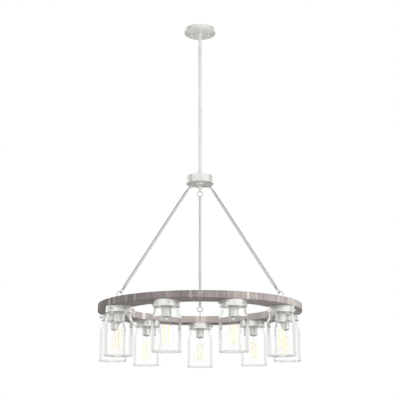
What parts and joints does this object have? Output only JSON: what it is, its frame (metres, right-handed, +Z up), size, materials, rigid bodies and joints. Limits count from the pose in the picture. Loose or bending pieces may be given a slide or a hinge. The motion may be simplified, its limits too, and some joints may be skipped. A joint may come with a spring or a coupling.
{
  "type": "ring chandelier",
  "caption": "Flat round wooden ring hung on rods and links from a swivelling ceiling stem, carrying clear glass jar lights under metal caps.",
  "frame": {"origin": "middle of the canopy, on the plane of the ceiling, at the centre of the crossbar's slots", "axes": "+Z up into the ceiling, the fixture hanging down along -Z, +Y towards the far rod and its light, +X towards the right-hand canopy knob"},
  "size_m": [0.9143, 0.9192, 1.588],
  "materials": {
    "brushed_nickel": "satin nickel",
    "zinc_steel": "zinc plated",
    "green_screw": "green",
    "nylon": "natural",
    "weathered_wood": "grey weathered",
    "clear_glass": "clear",
    "porcelain": "glazed",
    "bulb_metal": "plated",
    "bulb_glass": "clear",
    "filament": "pale yellow"
  },
  "bodies": {
    "ceiling": {"box_strap": "zinc_steel", "canopy_strap": "zinc_steel", "strap_rivet": "zinc_steel", "ground_screw": "green_screw", "canopy_studs": "zinc_steel", "canopy_knobs": "brushed_nickel", "canopy": "brushed_nickel"},
    "seat": {"swivel_seat": "nylon"},
    "stem": {"stem_top_section": "brushed_nickel", "stem_upper_section": "brushed_nickel", "stem_lower_section": "brushed_nickel", "stem_collar": "brushed_nickel", "stem_nipples": "zinc_steel", "hub_shell": "brushed_nickel", "hub_plate": "brushed_nickel", "hub_locknuts": "zinc_steel", "hub_finial": "brushed_nickel", "hub_eyes": "brushed_nickel", "hub_eye_nuts": "zinc_steel", "swivel_ball": "brushed_nickel"},
    "rod_far": {"upper_link_far": "brushed_nickel", "rod_tube_far": "brushed_nickel", "rod_eyes_far": "brushed_nickel", "lower_link_far": "brushed_nickel"},
    "rod_left": {"upper_link_left": "brushed_nickel", "rod_tube_left": "brushed_nickel", "rod_eyes_left": "brushed_nickel", "lower_link_left": "brushed_nickel"},
    "rod_right": {"upper_link_right": "brushed_nickel", "rod_tube_right": "brushed_nickel", "rod_eyes_right": "brushed_nickel", "lower_link_right": "brushed_nickel"},
    "ring": {"wood_ring": "weathered_wood", "ring_eyes": "brushed_nickel", "jar_cap_1": "brushed_nickel", "glass_jar_1": "clear_glass", "jar_cap_2": "brushed_nickel", "glass_jar_2": "clear_glass", "jar_cap_3": "brushed_nickel", "glass_jar_3": "clear_glass", "jar_cap_4": "brushed_nickel", "glass_jar_4": "clear_glass", "jar_cap_5": "brushed_nickel", "glass_jar_5": "clear_glass", "jar_cap_6": "brushed_nickel", "glass_jar_6": "clear_glass", "jar_cap_7": "brushed_nickel", "glass_jar_7": "clear_glass", "jar_cap_8": "brushed_nickel", "glass_jar_8": "clear_glass", "jar_cap_9": "brushed_nickel", "glass_jar_9": "clear_glass", "cap_screws": "zinc_steel", "thumbscrews": "brushed_nickel", "socket_cups": "brushed_nickel", "lampholders": "porcelain", "holder_nuts": "zinc_steel", "bulb_bases": "bulb_metal", "bulb_glasses": "bulb_glass", "bulb_mounts": "filament"}
  },
  "joints": [
    {"name": "swivel_turn", "type": "hinge", "parent": "ceiling", "child": "seat", "pos_m": [0, 0, -0.012], "axis": [0, 0, 1], "range_deg": [-175, 175]},
    {"name": "swivel_tilt", "type": "hinge", "parent": "seat", "child": "stem", "pos_m": [0, 0, -0.012], "axis": [1, 0, 0], "range_deg": [-20, 20]},
    {"name": "ring_twist", "type": "hinge", "parent": "stem", "child": "ring", "pos_m": [0, 0, -0.79], "axis": [0, 0, 1], "range_deg": [-5, 5], "stiffness_Nm_per_rad": 6},
    {"name": "rod_swing_far", "type": "hinge", "parent": "stem", "child": "rod_far", "pos_m": [0, 0.05, -0.79], "axis": [0, 0.8373, 0.5468], "range_deg": [-3.17, 3.17]},
    {"name": "rod_swing_left", "type": "hinge", "parent": "stem", "child": "rod_left", "pos_m": [-0.0433, -0.025, -0.79], "axis": [-0.7251, -0.4186, 0.5468], "range_deg": [-3.17, 3.17]},
    {"name": "rod_swing_right", "type": "hinge", "parent": "stem", "child": "rod_right", "pos_m": [0.0433, -0.025, -0.79], "axis": [0.7251, -0.4186, 0.5468], "range_deg": [-3.17, 3.17]}
  ],
  "couplings": [
    {"joint": "rod_swing_far", "follows": "ring_twist", "ratio": 0.6249},
    {"joint": "rod_swing_left", "follows": "ring_twist", "ratio": 0.6249},
    {"joint": "rod_swing_right", "follows": "ring_twist", "ratio": 0.6249}
  ]
}
